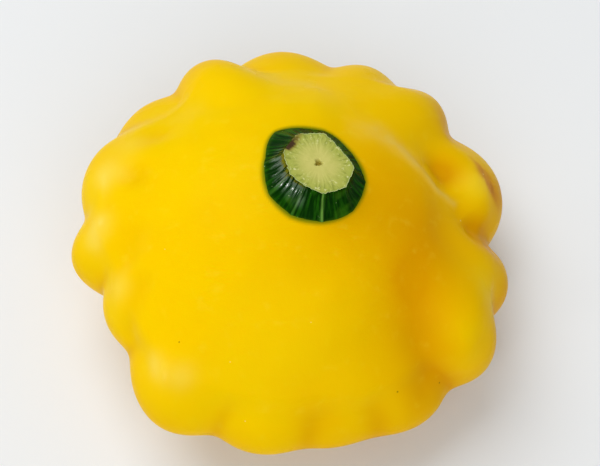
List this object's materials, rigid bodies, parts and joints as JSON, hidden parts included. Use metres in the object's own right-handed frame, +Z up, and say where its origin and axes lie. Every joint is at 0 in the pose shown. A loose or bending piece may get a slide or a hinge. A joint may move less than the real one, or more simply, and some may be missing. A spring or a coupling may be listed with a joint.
{
  "type": "pattypan squash",
  "caption": "Small yellow pattypan squash: a thick scalloped disc with a smooth dome, a flat resting spot under it and a short, cut green stem.",
  "frame": {"origin": "on the surface that the squash rests on, straight below the centre of its scalloped rim", "axes": "+Z up, away from the surface. The squash's own axis, from its underside to its stem, leans 7 degrees from +Z towards +X."},
  "size_m": [0.089, 0.0901, 0.0543],
  "materials": {
    "rind": "smooth waxy yellow squash rind",
    "stem": "ribbed dark green stem skin with a pale, freshly cut end"
  },
  "bodies": {
    "root": {"fruit": "rind", "stem": "stem"}
  },
  "joints": []
}
